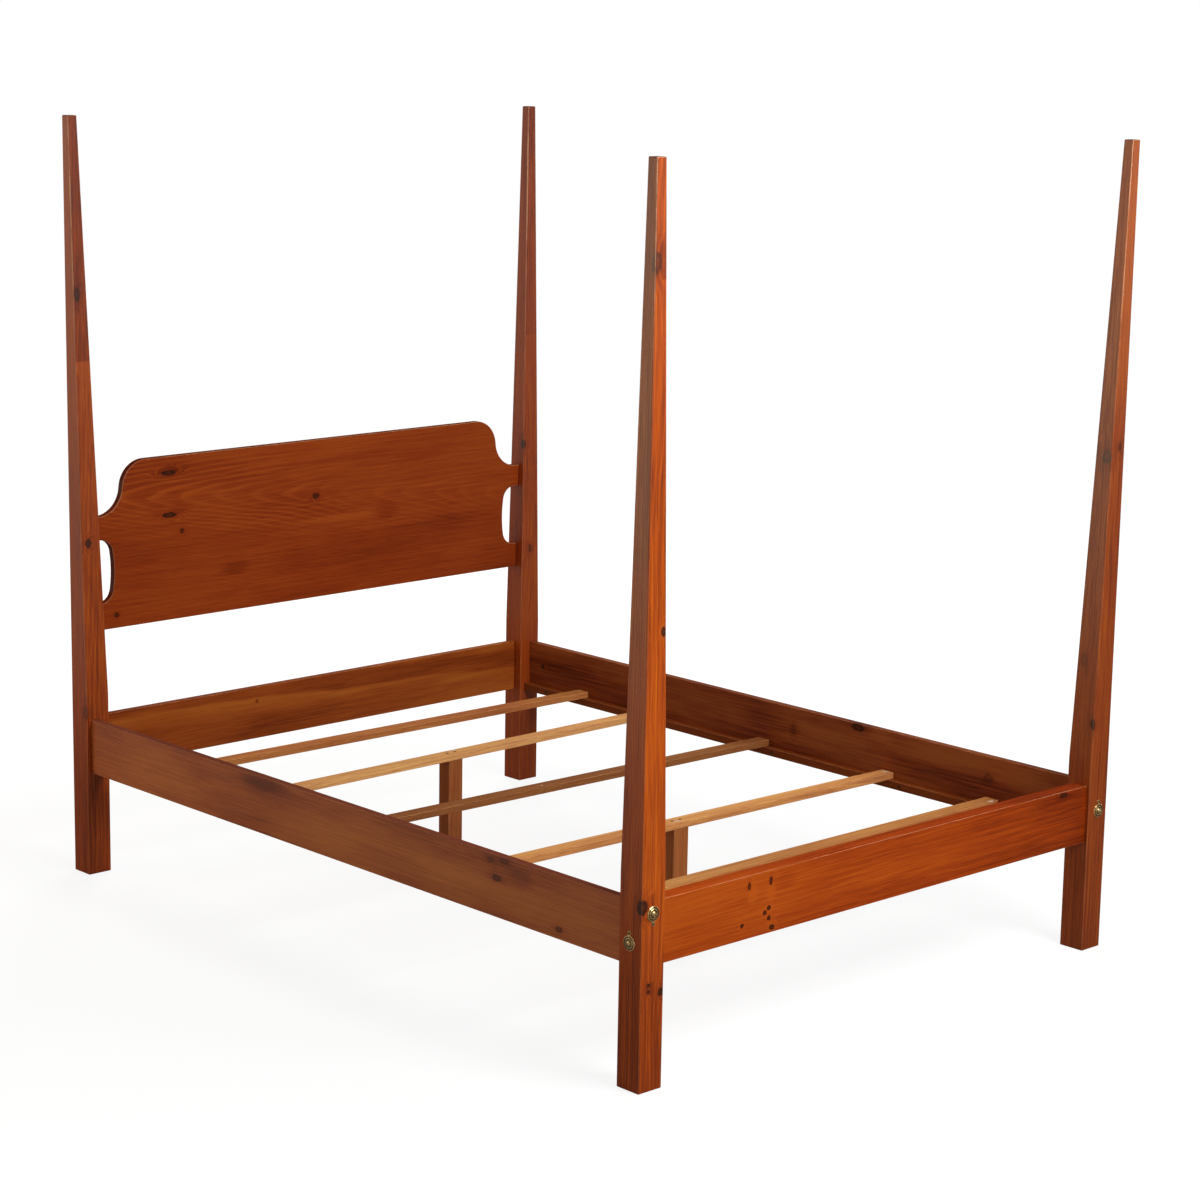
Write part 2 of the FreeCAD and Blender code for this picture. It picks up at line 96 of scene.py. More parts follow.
def pine_grain_group():
    """Growth rings round a pith along X, which narrow along the trunk, with streaks, blotches and pores."""
    drift_waves = (1.6, 6.0, 6.0)
    patch_waves = (3.0, 16.0, 16.0)
    streak_waves = (4.0, 240.0, 240.0)
    blotch_waves = (2.2, 10.0, 10.0)
    pore_waves = (16.0, 900.0, 900.0)
    far_share = 0.2
    faint_share = 0.4
    sockets = {
        "Place": "Vector", "Pith": "Vector", "Lean": "Vector",
        "Ring": "Float", "Taper": "Float", "Wander": "Float", "Swirl": "Float", "Reach": "Float",
        "Clear": "Float", "Faint": "Float",
    }
    tree, given, wanted = shader_group("pine_grain", sockets, ("Line", "Year", "Streak", "Blotch", "Pores"))
    place = given["Place"]
    along = put(tree, "SeparateXYZ", {0: place})["X"]
    drift = noise(tree, place, drift_waves, 2.0)["Color"]
    drift = vectors(tree, "SUBTRACT", drift, (0.5, 0.5, 0.5))
    drift = put(tree, "VectorMath", {0: drift, "Scale": given["Wander"]}, operation="SCALE")[0]
    lean = put(tree, "VectorMath", {0: given["Lean"], "Scale": along}, operation="SCALE")[0]
    drifted = vectors(tree, "ADD", place, drift)
    leaning_pith = vectors(tree, "ADD", given["Pith"], lean)
    across = vectors(tree, "SUBTRACT", drifted, leaning_pith)
    across = vectors(tree, "MULTIPLY", across, (0.0, 1.0, 1.0))
    radius = put(tree, "VectorMath", {0: across}, operation="LENGTH")["Value"]
    near = ease(tree, maths(tree, "DIVIDE", radius, given["Reach"]), 0.4, 1.0, 1.0, far_share)
    patchy = noise(tree, place, patch_waves, 2.0)["Fac"]
    near = maths(tree, "MULTIPLY", near, ease(tree, patchy, 0.35, 0.65, 0.5, 1.1))
    near = maths(tree, "MULTIPLY", near, ease(tree, along, given["Clear"], given["Faint"], 1.0, faint_share))
    uneven = maths(tree, "MULTIPLY", maths(tree, "SUBTRACT", patchy, 0.5), given["Wander"])
    radius = maths(tree, "ADD", radius, maths(tree, "ADD", uneven, given["Swirl"]))
    radius = maths(tree, "SUBTRACT", radius, maths(tree, "MULTIPLY", along, given["Taper"]))
    rings = maths(tree, "DIVIDE", radius, given["Ring"])
    within = maths(tree, "FRACT", rings)
    year = put(tree, "TexWhiteNoise", {"W": maths(tree, "FLOOR", rings)}, noise_dimensions="1D")["Value"]
    line = maths(tree, "MULTIPLY", ease(tree, within, 0.4, 0.85), ease(tree, within, 0.88, 1.0, 1.0, 0.0))
    for part, middle, name in ((line, 0.3, "Line"), (year, 0.5, "Year")):
        swing = maths(tree, "SUBTRACT", part, middle)
        tree.links.new(maths(tree, "MULTIPLY_ADD", swing, near, 0.5), wanted[name])
    streak = noise(tree, place, streak_waves, 4.0, 0.7)["Fac"]
    tree.links.new(ease(tree, streak, 0.3, 0.7), wanted["Streak"])
    blotch = noise(tree, place, blotch_waves, 3.0)["Fac"]
    tree.links.new(ease(tree, blotch, 0.3, 0.7), wanted["Blotch"])
    pores = noise(tree, place, pore_waves, 2.0, 0.6)["Fac"]
    tree.links.new(ease(tree, pores, 0.46, 0.66), wanted["Pores"])
    return tree


def knot_group():
    """A knot round a point, with a ragged rim and a halo in which the grain bends."""
    ragged_waves = (120.0, 120.0, 120.0)
    ragged_reach = 0.18
    sockets = {"Place": "Vector", "Centre": "Vector", "Reach": "Vector"}
    tree, given, wanted = shader_group("knot", sockets, ("Core", "Rim", "Halo"))
    away = vectors(tree, "SUBTRACT", given["Place"], given["Centre"])
    away = vectors(tree, "DIVIDE", away, given["Reach"])
    distance = put(tree, "VectorMath", {0: away}, operation="LENGTH")["Value"]
    ragged = noise(tree, given["Place"], ragged_waves, 2.0)["Fac"]
    distance = maths(tree, "ADD", distance, ease(tree, ragged, 0.25, 0.75, -ragged_reach, ragged_reach))
    tree.links.new(ease(tree, distance, 0.6, 1.15, 1.0, 0.0), wanted["Core"])
    rim = maths(tree, "MULTIPLY", ease(tree, distance, 0.3, 0.8), ease(tree, distance, 0.8, 1.3, 1.0, 0.0))
    tree.links.new(rim, wanted["Rim"])
    tree.links.new(ease(tree, distance, 0.8, 3.4, 1.0, 0.0), wanted["Halo"])
    return tree


def edge_wear_group():
    """A painted highlight along the rounded edges of a board's face, partly also a finish rubbed thin, more
    in some places.
    """
    highlight_and_wear_waves = (9.0, 9.0, 9.0)
    least_highlight_and_wear = 0.35
    sockets = {"Place": "Vector", "Normal": "Vector", "Thickness": "Vector"}
    tree, given, wanted = shader_group("edge_highlight_and_wear", sockets, ("Highlight_and_wear",))
    inputs = {0: given["Normal"], 1: given["Thickness"]}
    facing = maths(tree, "ABSOLUTE", put(tree, "VectorMath", inputs, operation="DOT_PRODUCT")["Value"])
    edge = maths(tree, "MULTIPLY", ease(tree, facing, 0.1, 0.45), ease(tree, facing, 0.8, 0.98, 1.0, 0.0))
    uneven_highlight_and_wear = noise(tree, given["Place"], highlight_and_wear_waves, 4.0, 0.65)["Fac"]
    uneven_highlight_and_wear = ease(tree, uneven_highlight_and_wear, 0.35, 0.6, least_highlight_and_wear, 1.0)
    tree.links.new(maths(tree, "MULTIPLY", edge, uneven_highlight_and_wear), wanted["Highlight_and_wear"])
    return tree


pine_grain = pine_grain_group()
knot = knot_group()
edge_highlight_and_wear = edge_wear_group()
knot_heart = (0.075, 0.016, 0.004, 1.0)
knot_rim = (0.030, 0.008, 0.003, 1.0)
bare_wood = (0.74, 0.54, 0.37, 1.0)
# Colour of the painted edge highlight, which stands partly for finish rubbed thin.
highlight_and_rubbed_wood = (0.82, 0.43, 0.23, 1.0)
dark_shares = (0.42, 0.34, 0.42)
pale_shares = (1.38, 1.85, 1.70)
end_grain_shares = (0.16, 0.16, 0.20)
pore_weight = -0.2
pore_depth = 0.0004
pore_strength = 0.1
foot_darkening_heights = (0.10, 0.42)
highlight_and_wear_heights = (1.15, 1.80)
dull_top_roughness = 0.9
turns_to_grain = {
    "X": (0.0, 0.0, 0.0),
    "Y": (0.0, 0.0, -math.pi / 2),
    "Z": (0.0, math.pi / 2, 0.0),
}
across_board = {"X": (1.0, 0.0, 0.0), "Y": (0.0, 1.0, 0.0), "Z": (0.0, 0.0, 1.0)}


def toned(tone, shares=(1.0, 1.0, 1.0)):
    """A wood's tone as a colour, with its red, green and blue each made stronger or weaker."""
    return (tone[0] * shares[0], tone[1] * shares[1], tone[2] * shares[2], 1.0)


def stained_pine(
    name, grain, tone, pith, ring=0.007, taper=0.0, lean=(0.0, 0.0, 0.0), wander=0.02, shift=0.0,
    reach=1.0, fainter=(9.0, 10.0), line=0.1, year=0.12, streak=0.28, blotch=0.25, painted_falloff=0.0,
    knots=(), chips=(), front_step_above=None, foot_darkening=0.0, painted_top_shade=0.0, thickness="Y",
    highlight_and_wear=(0.3, 0.3), roughness=0.36, specular=0.1,
):
    """A finish of stained pine whose grain runs along one of the bed's axes.

    The rings lie round the pith. Their lines, years, streaks and blotches each swing the shade by a
    weight, and the tone is darker below the middle shade and paler above it.
    """
    material = bpy.data.materials.new(name)
    material.use_nodes = True
    tree = material.node_tree
    tree.nodes.clear()
    coordinates = put(tree, "TexCoord")
    place = coordinates["Object"]
    height = put(tree, "SeparateXYZ", {0: place})["Z"]
    facing = put(tree, "SeparateXYZ", {0: coordinates["Normal"]})
    core = rim = halo = bend = 0.0
    for centre, size, depth, glow in knots:
        made = put(tree, "Group", {"Place": place, "Centre": centre, "Reach": size}, node_tree=knot)
        core = maths(tree, "MAXIMUM", core, maths(tree, "MULTIPLY", made["Core"], depth))
        rim = maths(tree, "MAXIMUM", rim, maths(tree, "MULTIPLY", made["Rim"], depth))
        halo = maths(tree, "MULTIPLY_ADD", made["Halo"], glow, halo)
        bend = maths(tree, "MAXIMUM", bend, maths(tree, "MULTIPLY", made["Halo"], depth))
    turned = put(tree, "Mapping", {"Vector": place, "Rotation": turns_to_grain[grain]})[0]
    swirl = maths(tree, "MULTIPLY_ADD", bend, 2.0 * ring, shift)
    inputs = {
        "Place": turned, "Pith": pith, "Lean": lean, "Ring": ring, "Taper": taper, "Wander": wander,
        "Swirl": swirl, "Reach": reach, "Clear": fainter[0], "Faint": fainter[1],
    }
    wood = put(tree, "Group", inputs, node_tree=pine_grain)
    weights = {"Line": line, "Year": year, "Streak": streak, "Blotch": blotch, "Pores": pore_weight}
    shade = 0.5
    for part, weight in weights.items():
        swing = maths(tree, "MULTIPLY_ADD", wood[part], weight, -0.5 * weight)
        shade = maths(tree, "ADD", shade, swing)
    if knots:
        shade = maths(tree, "ADD", shade, halo)
    # Painted falloff of light: the shade changes steadily along the grain.
    if painted_falloff:
        shade = maths(tree, "MULTIPLY_ADD", put(tree, "SeparateXYZ", {0: place})[grain], painted_falloff, shade)
    # Above a height the front face's shade steps, with a sharp or soft edge: a lighter step is painted
    # light, a darker step is only darker.
    if front_step_above:
        start_height, step_darkening, softness = front_step_above
        upper = ease(tree, height, start_height - softness, start_height + softness)
        upper = maths(tree, "MULTIPLY", upper, ease(tree, facing["Y"], -0.9, -0.6, 1.0, 0.0))
        shade = maths(tree, "MULTIPLY_ADD", upper, -step_darkening, shade)
    # Darker towards the floor, by up to the given amount.
    if foot_darkening:
        shade = maths(tree, "SUBTRACT", shade, ease(tree, height, *foot_darkening_heights, foot_darkening, 0.0))
    # Painted shade: faces that look upward are made darker.
    if painted_top_shade:
        shade = maths(tree, "SUBTRACT", shade, ease(tree, facing["Z"], 0.5, 0.9, 0.0, painted_top_shade))
    colour = put(tree, "ValToRGB", {0: shade})[0]
    stops = colour.node.color_ramp.elements
    stops[0].position = 0.0
    stops[0].color = toned(tone, dark_shares)
    stops[1].position = 1.0
    stops[1].color = toned(tone, pale_shares)
    middle = stops.new(0.5)
    middle.color = toned(tone)
    end_grain = ease(tree, maths(tree, "ABSOLUTE", facing[grain]), 0.4, 0.95, 0.0, 0.75)
    colour = lay_over(tree, end_grain, colour, toned(tone, end_grain_shares))
    if knots:
        colour = lay_over(tree, core, colour, knot_heart)
        colour = lay_over(tree, rim, colour, knot_rim)
    for centre, size in chips:
        made = put(tree, "Group", {"Place": place, "Centre": centre, "Reach": size}, node_tree=knot)
        colour = lay_over(tree, made["Core"], colour, bare_wood)
    # Painted highlight along the rounded edges, partly also rubbed finish; it eases between its two shares
    # by height, so on the posts it grows towards the top.
    inputs = {"Place": place, "Normal": coordinates["Normal"], "Thickness": across_board[thickness]}
    highlit_and_worn = put(tree, "Group", inputs, node_tree=edge_highlight_and_wear)["Highlight_and_wear"]
    highlit_and_worn = maths(tree, "MULTIPLY", highlit_and_worn, ease(tree, height, *highlight_and_wear_heights, *highlight_and_wear))
    colour = lay_over(tree, highlit_and_worn, colour, highlight_and_rubbed_wood)
    inputs = {"Height": wood["Pores"], "Strength": pore_strength, "Distance": pore_depth}
    bump = put(tree, "Bump", inputs)[0]
    gloss = ease(tree, wood["Streak"], 0.0, 1.0, roughness + 0.05, roughness - 0.03)
    if painted_top_shade:
        dull_top = ease(tree, facing["Z"], 0.2, 0.7, 0.0, dull_top_roughness)
        gloss = maths(tree, "MAXIMUM", gloss, dull_top)
    inputs = {"Base Color": colour, "Roughness": gloss, "Normal": bump, "Specular IOR Level": specular}
    surface = put(tree, "BsdfPrincipled", inputs)[0]
    put(tree, "OutputMaterial", {"Surface": surface})
    return material


def finish_node(name, material):
    """Gives a CAD node its finish."""
    slots = nodes[name].data.materials
    slots.clear()
    slots.append(material)


post_tones = {
    "post_foot_left": (0.55, 0.087, 0.003),
    "post_head_left": (0.41, 0.066, 0.007),
    "post_foot_right": (0.305, 0.050, 0.006),
    "post_head_right": (0.34, 0.052, 0.007),
}
# Each knot: its middle, its reach along each axis, how dark it is, and how far it lightens the wood
# round it, or darkens it where that is below nought. One with no darkness is a smudge in the stain.
post_knots = {
    "post_foot_left": (
        ((-0.727, -0.9965, 1.633), (0.011, 0.010, 0.020), 0.6, -0.2),
        ((-0.689, -0.9965, 0.926), (0.006, 0.012, 0.010), 0.9, 0.12),
        ((-0.728, -0.9945, 0.383), (0.013, 0.012, 0.015), 0.9, -0.16),
        ((-0.710, -0.9965, 0.221), (0.004, 0.010, 0.004), 0.9, -0.16),
        ((-0.710, -0.9965, 0.208), (0.004, 0.010, 0.004), 0.9, -0.16),
        ((-0.677, -0.9965, 0.201), (0.006, 0.012, 0.008), 0.9, -0.16),
    ),
    "post_head_left": (
        ((-0.722, 0.960, 1.413), (0.008, 0.012, 0.016), 0.85, -0.16),
        ((-0.713, 0.943, 0.818), (0.008, 0.010, 0.010), 0.9, -0.16),
        ((-0.732, 0.938, 0.405), (0.006, 0.010, 0.016), 0.35, -0.16),
    ),
    "post_foot_right": (
        ((0.687, -0.983, 1.135), (0.010, 0.012, 0.015), 0.5, -0.2),
        ((0.7145, -0.9965, 1.157), (0.006, 0.010, 0.009), 0.6, -0.16),
        ((0.6747, -0.957, 0.671), (0.010, 0.009, 0.016), 0.25, -0.16),
        ((0.669, -0.9960, 0.530), (0.007, 0.009, 0.012), 0.85, -0.16),
    ),
    "post_head_right": (
        ((0.681, 0.947, 0.9315), (0.007, 0.009, 0.013), 0.9, -0.16),
        ((0.702, 0.9385, 0.646), (0.007, 0.010, 0.010), 0.5, -0.16),
    ),
}
# Where a post's front face changes shade above a height: from what height, how much darker (below nought,
# lighter), how softly.
# The foot-right post's lighter upper front is a painted sheen; the head posts are only darker above the
# height.
post_front_steps = {
    "post_head_left": (1.2535, 0.40, 0.001),
    "post_foot_right": (1.27, -0.26, 0.10),
    "post_head_right": (1.2255, 0.16, 0.001),
}
# The foot-left post is painted darker towards its top, a painted falloff of the lamp's light.
post_painted_falloffs = {"post_foot_left": -0.12}
post_foot_darkening = {"post_foot_left": 0.36, "post_head_left": 0.15, "post_foot_right": 0.05, "post_head_right": 0.0}
post_pith_behind = 0.14
post_pith_aside = 0.10
# Each post's rounded edges carry a painted highlight, partly rubbed finish, growing from 1.15 m to the top.
for name, tone in post_tones.items():
    low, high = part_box(name)
    pith = (0.0, (low.y + high.y) / 2 + post_pith_behind, -(low.x + high.x) / 2 + post_pith_aside)
    finish_node(name, stained_pine(
        name + "_pine", "Z", tone, pith, ring=0.006, line=0.25, streak=0.55, painted_falloff=post_painted_falloffs.get(name, 0.0),
        knots=post_knots[name], front_step_above=post_front_steps.get(name), foot_darkening=post_foot_darkening[name],
        highlight_and_wear=(0.1, 0.9), roughness=0.28, specular=0.45))


# Headboard: one wide flat-sawn pine panel, shaped at its shoulders and cut out at its ends, whose
# tabs are let into the head posts. Sawn near the pith, it has arches of grain along its upper part,
# and a few dark knots.
board_face = 0.965
board_pith = (0.0, board_face + 0.03, 0.864)
board_knots = (
    ((-0.464, board_face, 0.962), (0.020, 0.010, 0.006), 0.9, -0.16),
    ((-0.010, board_face, 0.858), (0.009, 0.010, 0.007), 0.85, -0.16),
    ((-0.463, board_face, 0.857), (0.020, 0.010, 0.006), 0.9, -0.16),
    ((-0.425, board_face, 0.814), (0.006, 0.010, 0.006), 0.8, -0.16),
    ((-0.620, board_face, 0.628), (0.006, 0.010, 0.006), 0.8, -0.16),
    ((0.220, board_face, 0.796), (0.018, 0.010, 0.010), 0.0, -0.28),
    ((-0.266, board_face, 0.704), (0.018, 0.010, 0.008), 0.0, -0.28),
    ((-0.445, board_face, 0.972), (0.022, 0.010, 0.007), 0.0, -0.15),
    ((-0.430, board_face, 0.870), (0.016, 0.010, 0.005), 0.0, -0.25),
    ((-0.500, board_face, 0.878), (0.012, 0.010, 0.008), 0.0, -0.15),
    ((0.081, board_face, 0.950), (0.045, 0.010, 0.005), 0.0, -0.15),
    ((0.424, board_face, 0.746), (0.040, 0.010, 0.008), 0.0, -0.18),
    ((0.075, board_face, 0.795), (0.050, 0.010, 0.004), 0.0, 0.30),
)
# The board's front is painted lighter above 0.84 m, painted light, and its upward faces get painted shade.
finish_node("headboard", stained_pine(
    "headboard_pine", "X", (0.315, 0.044, 0.006), board_pith, ring=0.011, taper=0.11,
    lean=(0.0, 0.0, -0.094), reach=0.13, fainter=(-0.15, 0.15), line=0.36, year=0.06, streak=0.3,
    blotch=0.24, knots=board_knots, front_step_above=(0.84, -0.12, 0.12), painted_top_shade=0.5, highlight_and_wear=(0.4, 0.4)))


# Rails: planed pine boards between the posts, stained like them. The head rail is glued to its
# posts, and the other three are drawn up by bolts, so that the bed comes apart.
foot_face = -0.987
foot_rail_knots = (
    ((-0.422, foot_face, 0.365), (0.004, 0.010, 0.008), 0.8, -0.16),
    ((-0.412, foot_face, 0.347), (0.006, 0.010, 0.010), 0.0, 0.30),
    ((-0.359, foot_face, 0.364), (0.004, 0.010, 0.009), 0.85, -0.16),
    ((-0.358, foot_face, 0.340), (0.005, 0.010, 0.008), 0.0, 0.30),
    ((-0.315, foot_face, 0.357), (0.014, 0.010, 0.010), 0.0, -0.20),
    ((0.060, foot_face, 0.350), (0.080, 0.010, 0.006), 0.0, -0.14),
    ((-0.080, foot_face, 0.304), (0.070, 0.010, 0.006), 0.0, 0.10),
    ((-0.363, foot_face, 0.308), (0.006, 0.010, 0.005), 0.9, 0.12),
    ((-0.375, foot_face, 0.299), (0.005, 0.010, 0.005), 0.9, 0.12),
    ((-0.363, foot_face, 0.286), (0.005, 0.010, 0.005), 0.9, 0.12),
    ((-0.441, foot_face, 0.285), (0.005, 0.010, 0.005), 0.9, 0.12),
    ((-0.353, foot_face, 0.265), (0.007, 0.010, 0.006), 0.9, 0.12),
    ((0.588, foot_face, 0.3785), (0.013, 0.010, 0.005), 0.9, -0.16),
)
# The foot rail is painted lighter towards its left end, a painted falloff of light, and its top gets painted
# shade.
finish_node("foot_rail", stained_pine(
    "foot_rail_pine", "X", (0.415, 0.055, 0.004), (0.0, -0.80, 0.18), ring=0.009, taper=0.02,
    line=0.14, year=0.07, streak=0.4, blotch=0.34, painted_falloff=-0.5, knots=foot_rail_knots, painted_top_shade=0.22,
    highlight_and_wear=(0.5, 0.5)))
head_rail_knots = (((-0.203, 0.9605, 0.351), (0.002, 0.010, 0.002), 0.7, -0.16),)
finish_node("head_rail", stained_pine(
    "head_rail_pine", "X", (0.335, 0.065, 0.010), (0.0, 1.02, 0.28), ring=0.06, taper=-0.03,
    shift=-0.033, wander=0.03, line=0.55, year=0.08, streak=0.3, blotch=0.2, knots=head_rail_knots))
left_face = -0.7195
left_rail_knots = (
    ((left_face, -0.535, 0.374), (0.012, 0.011, 0.006), 0.4, -0.2),
    ((left_face, -0.577, 0.379), (0.012, 0.013, 0.006), 0.4, -0.2),
    ((left_face, -0.554, 0.338), (0.012, 0.013, 0.007), 0.55, -0.2),
    ((left_face, -0.626, 0.354), (0.012, 0.018, 0.008), 0.0, -0.25),
    ((left_face, -0.746, 0.275), (0.012, 0.012, 0.006), 0.6, -0.16),
    ((left_face, 0.235, 0.372), (0.012, 0.035, 0.008), 0.0, -0.4),
    ((left_face, -0.080, 0.312), (0.040, 0.200, 0.016), 0.0, 0.26),
    ((left_face, 0.880, 0.335), (0.040, 0.050, 0.030), 0.0, -0.20),
)
# The left rail's top gets strong painted shade.
finish_node("side_rail_left", stained_pine(
    "side_rail_left_pine", "Y", (0.50, 0.114, 0.030), (0.0, -0.65, 0.30), ring=0.011, taper=0.05,
    wander=0.05, line=0.06, year=0.08, streak=0.3, blotch=0.45, knots=left_rail_knots, painted_top_shade=0.9,
    thickness="X", highlight_and_wear=(0.15, 0.15), specular=0.4))
right_face = 0.7005
right_rail_knots = (
    ((right_face, -0.268, 0.378), (0.010, 0.020, 0.009), 0.8, -0.16),
    ((right_face, -0.340, 0.373), (0.010, 0.016, 0.007), 0.0, 0.30),
    ((right_face, -0.055, 0.330), (0.010, 0.008, 0.012), 0.3, -0.16),
    ((right_face, -0.680, 0.336), (0.010, 0.014, 0.010), 0.3, -0.16),
    ((right_face, 0.032, 0.339), (0.010, 0.045, 0.010), 0.0, -0.28),
    ((right_face, 0.250, 0.315), (0.010, 0.040, 0.009), 0.0, -0.24),
    ((right_face, -0.443, 0.315), (0.010, 0.040, 0.009), 0.0, -0.24),
    ((right_face, -0.200, 0.337), (0.010, 0.050, 0.006), 0.0, 0.22),
    ((right_face, -0.520, 0.357), (0.010, 0.060, 0.006), 0.0, 0.20),
    ((right_face, -0.250, 0.366), (0.010, 0.600, 0.012), 0.0, 0.20),
)
finish_node("side_rail_right", stained_pine(
    "side_rail_right_pine", "Y", (0.255, 0.048, 0.012), (0.0, 0.77, 0.30), ring=0.018, taper=0.05,
    wander=0.06, line=0.4, year=0.3, streak=0.6, blotch=0.65, knots=right_rail_knots, thickness="X"))


# Cleats: square pine strips along the inside of the side rails, for the slats to lie on. They are
# screwed on from inside, and were stained with the rails.
cleat_tone = (0.22, 0.042, 0.007)
cleat_pith = (0.0, 0.5, 0.1)
for name in ("slat_cleat_left", "slat_cleat_right"):
    finish_node(name, stained_pine(name + "_pine", "Y", cleat_tone, cleat_pith, ring=0.006, thickness="X"))


# Slats: thin strips of lighter pine, lying loose on the cleats, each aged to a brown of its own,
# and chipped here and there along the top.
slat_tones = {
    1: (0.54, 0.21, 0.062),
    2: (0.70, 0.285, 0.092),
    3: (0.31, 0.104, 0.032),
    4: (0.80, 0.355, 0.130),
    5: (0.52, 0.170, 0.050),
}
slat_top = 0.290
# Each chip: its middle, and its reach along each axis.
slat_chips = {
    1: (((0.676, -0.707, slat_top), (0.010, 0.006, 0.006)),),
    2: (
        ((-0.009, -0.362, slat_top), (0.011, 0.005, 0.006)),
        ((0.690, -0.370, slat_top), (0.010, 0.006, 0.006)),
    ),
    3: (((-0.040, 0.060, slat_top), (0.004, 0.003, 0.006)),),
    4: (((0.015, 0.450, slat_top), (0.015, 0.007, 0.006)),),
    5: (((0.675, 0.750, slat_top), (0.010, 0.006, 0.006)),),
}
slat_pith_behind = 0.05
slat_pith_height = 0.20
for number, tone in slat_tones.items():
    name = "slat_" + str(number)
    low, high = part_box(name)
    pith = (0.0, (low.y + high.y) / 2 + slat_pith_behind, slat_pith_height)
    finish_node(name, stained_pine(
        name + "_pine", "X", tone, pith, ring=0.006, wander=0.03, chips=slat_chips[number], thickness="Z",
        roughness=0.5))


# Centre legs: short posts that hold up the second and fourth slats in the middle. They are sawn from
# the same light pine as the slats, and screwed to them from above.
leg_tone = (0.36, 0.098, 0.029)
leg_pith_behind = 0.06
leg_pith_aside = 0.04
for number in (2, 4):
    name = "centre_leg_" + str(number)
    low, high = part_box(name)
    pith = (0.0, (low.y + high.y) / 2 + leg_pith_behind, -(low.x + high.x) / 2 + leg_pith_aside)
    finish_node(name, stained_pine(name + "_pine", "Z", leg_tone, pith, ring=0.006, roughness=0.5))


# Bolt covers: small brass castings over the bed bolts, each a ringed disc with an eye that hangs on
# a pin in the post. They were lacquered, and have gone brown in the grooves between the rings.
def tarnish_group():
    """Soft patches of tarnish, and two dark grooves round a cover's centre."""
    patch_waves = (90.0, 90.0, 90.0)
    patch_share = 0.25
    groove_dark_to = 0.0010
    groove_ends_at = 0.0018
    sockets = {"Place": "Vector", "Centre": "Vector", "Outer": "Float", "Inner": "Float"}
    tree, given, wanted = shader_group("tarnish", sockets, ("Patches", "Grooves"))
    patches = noise(tree, given["Place"], patch_waves, 3.0)["Fac"]
    tree.links.new(ease(tree, patches, 0.4, 0.75, 0.0, patch_share), wanted["Patches"])
    inputs = {0: given["Place"], 1: given["Centre"]}
    away = put(tree, "VectorMath", inputs, operation="DISTANCE")["Value"]
    grooves = 0.0
    for radius in (given["Outer"], given["Inner"]):
        off = maths(tree, "ABSOLUTE", maths(tree, "SUBTRACT", away, radius))
        groove = ease(tree, off, groove_dark_to, groove_ends_at, 1.0, 0.0)
        grooves = maths(tree, "MAXIMUM", grooves, groove)
    tree.links.new(grooves, wanted["Grooves"])
    return tree


tarnish = tarnish_group()
groove_radii = {"Outer": 0.0124, "Inner": 0.0073}
lacquer_roughness = 0.12


def worn_metal(name, bright, dull, roughness, centre=None, lacquer=0.0, polish=0.7):
    """A metal with soft patches of tarnish, and dark grooves round the centre of a cover."""
    material = bpy.data.materials.new(name)
    material.use_nodes = True
    tree = material.node_tree
    tree.nodes.clear()
    place = put(tree, "TexCoord")["Object"]
    if centre:
        made = put(tree, "Group", {"Place": place, "Centre": centre, **groove_radii}, node_tree=tarnish)
        dulled = maths(tree, "MAXIMUM", made["Patches"], made["Grooves"])
    else:
        dulled = put(tree, "Group", {"Place": place}, node_tree=tarnish)["Patches"]
    inputs = {
        "Base Color": lay_over(tree, dulled, bright, dull),
        "Roughness": ease(tree, dulled, 0.0, 1.0, roughness, roughness + 0.2),
        "Metallic": polish,
        "Coat Weight": lacquer,
        "Coat Roughness": lacquer_roughness,
    }
    surface = put(tree, "BsdfPrincipled", inputs)[0]
    put(tree, "OutputMaterial", {"Surface": surface})
    return material


bright_brass = (0.95, 0.60, 0.22, 1.0)
brown_brass = (0.07, 0.035, 0.012, 1.0)
dark_brass = (0.14, 0.09, 0.045, 1.0)
brass_roughness = 0.24
brass_lacquer = 0.8
end_polish = 0.7
side_polish = 0.4
cover_centres = {
    "foot_left_end": (-0.702, -0.9985, 0.366),
    "foot_right_end": (0.702, -0.9985, 0.326),
    "head_left_end": (-0.702, 0.9985, 0.326),
    "head_right_end": (0.702, 0.9985, 0.326),
    "foot_left_side": (-0.734, -0.9635, 0.304),
    "foot_right_side": (0.734, -0.9635, 0.304),
}
for name, centre in cover_centres.items():
    polish = side_polish if name.endswith("side") else end_polish
    finish_node("bolt_cover_" + name, worn_metal(
        name + "_cover_brass", bright_brass, brown_brass, brass_roughness, centre, brass_lacquer, polish))
finish_node("cover_pins", worn_metal("pin_brass", dark_brass, brown_brass, 0.35))


# Screws, bolts and nuts: plain steel gone dark with age. The screws hold the cleats and the centre
# legs, and the bolts pass through the posts into barrel nuts that are let into the rails.
dark_steel = worn_metal("dark_steel", (0.075, 0.048, 0.030, 1.0), (0.032, 0.020, 0.012, 1.0), 0.5)
for name in ("leg_screws_2", "leg_screws_4", "cleat_screws", "bed_bolts"):
    finish_node(name, dark_steel)
browned_steel = worn_metal("browned_steel", (0.12, 0.055, 0.025, 1.0), (0.06, 0.025, 0.012, 1.0), 0.55)
finish_node("barrel_nuts", browned_steel)


